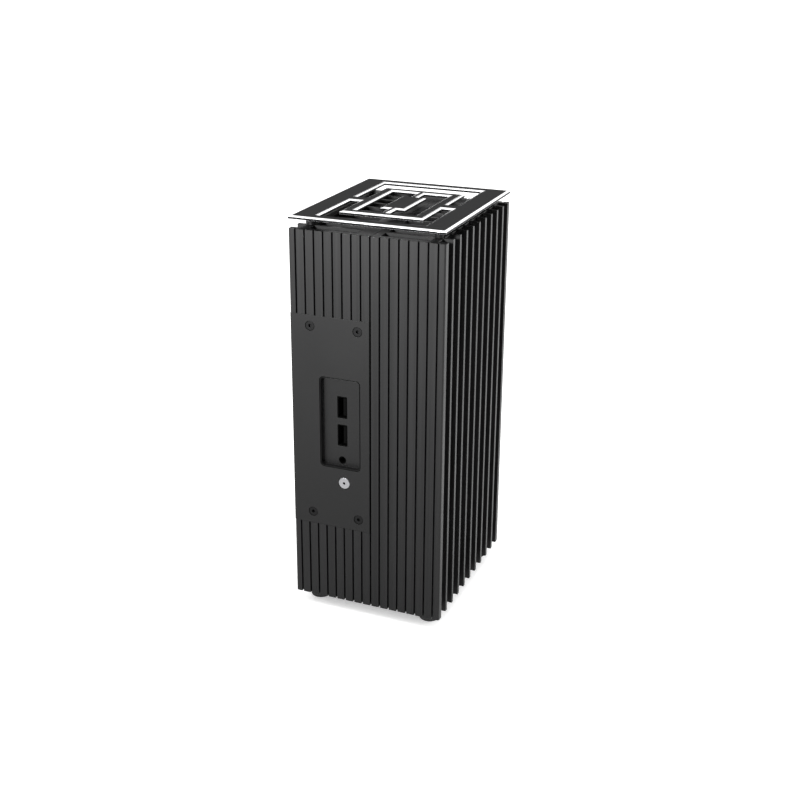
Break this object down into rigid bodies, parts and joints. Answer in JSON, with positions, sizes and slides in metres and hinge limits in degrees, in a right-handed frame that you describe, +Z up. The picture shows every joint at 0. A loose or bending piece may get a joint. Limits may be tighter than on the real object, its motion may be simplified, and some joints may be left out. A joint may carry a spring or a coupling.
{
  "type": "mini pc",
  "caption": "Upright fanless mini computer with a finned black aluminium case, a floating slotted top plate and front sockets.",
  "frame": {"origin": "centre of the overall box, on the surface the feet stand on", "axes": "+Z up along the tall side; the front panel faces -Y; +X is to the right seen from the front"},
  "size_m": [0.0962, 0.1148, 0.2496],
  "materials": {
    "black_anodised": "black anodised, fine satin, drawn along the ribs",
    "plate_anodised": "black anodised top with bright cut chamfers",
    "black_steel": "black oxide",
    "bright_steel": "bright turned",
    "foot_rubber": "matte",
    "button_silver": "fine bead blasted, clear anodised",
    "black_plastic": "moulded, matte",
    "socket_steel": "plated sheet",
    "chip_package": "smooth",
    "spreader_copper": "machined copper",
    "circuit_board": "solder resist over glass-filled laminate",
    "drive_case": "brushed"
  },
  "bodies": {
    "case": {"left_housing": "black_anodised", "rear_io_panel": "black_anodised", "front_io_panel": "black_anodised", "right_housing": "black_anodised", "top_plate": "plate_anodised", "drive_bracket": "black_steel", "mainboard": "circuit_board", "foot_front_left": "foot_rubber", "foot_front_right": "foot_rubber", "foot_rear_left": "foot_rubber", "foot_rear_right": "foot_rubber", "audio_jack": "black_plastic", "coin_cell": "socket_steel", "top_standoff_front_left": "black_steel", "top_standoff_front_right": "black_steel", "top_standoff_rear_left": "black_steel", "top_standoff_rear_right": "black_steel", "button_retainer": "black_plastic", "drive_lead": "black_plastic", "dc_socket": "black_plastic", "storage_drive": "drive_case", "foot_screw_front_left": "black_steel", "foot_screw_front_right": "black_steel", "foot_screw_rear_left": "black_steel", "foot_screw_rear_right": "black_steel", "board_screw_front_upper": "bright_steel", "board_screw_front_lower": "bright_steel", "board_screw_rear_upper": "bright_steel", "board_screw_rear_lower": "bright_steel", "drive_screw_upper": "bright_steel", "drive_screw_lower": "bright_steel", "bracket_screw_upper": "bright_steel", "bracket_screw_lower": "bright_steel", "front_screw_outer_upper": "black_steel", "rear_screw_outer_upper": "black_steel", "front_screw_outer_lower": "black_steel", "rear_screw_outer_lower": "black_steel", "front_screw_inner_upper": "black_steel", "rear_screw_inner_upper": "black_steel", "front_screw_inner_lower": "black_steel", "rear_screw_inner_lower": "black_steel", "core_screw_front_upper": "black_steel", "core_screw_front_lower": "black_steel", "core_screw_rear_upper": "black_steel", "core_screw_rear_lower": "black_steel", "rear_usb_stack": "socket_steel", "power_switch": "black_plastic", "front_usb_upper": "socket_steel", "front_usb_lower": "socket_steel", "lan_socket": "socket_steel", "display_socket": "socket_steel", "usb_c_socket": "socket_steel", "processor": "chip_package", "memory_socket": "black_plastic", "ssd_socket": "black_plastic", "heat_spreader": "spreader_copper", "memory_module": "circuit_board", "ssd_module": "circuit_board"},
    "button": {"power_button": "button_silver", "switch_plunger": "bright_steel"}
  },
  "joints": [
    {"name": "button_press", "type": "slide", "parent": "case", "child": "button", "axis": [0, 1, 0], "range_m": [0, 0.0005], "stiffness_N_per_m": 1500}
  ]
}
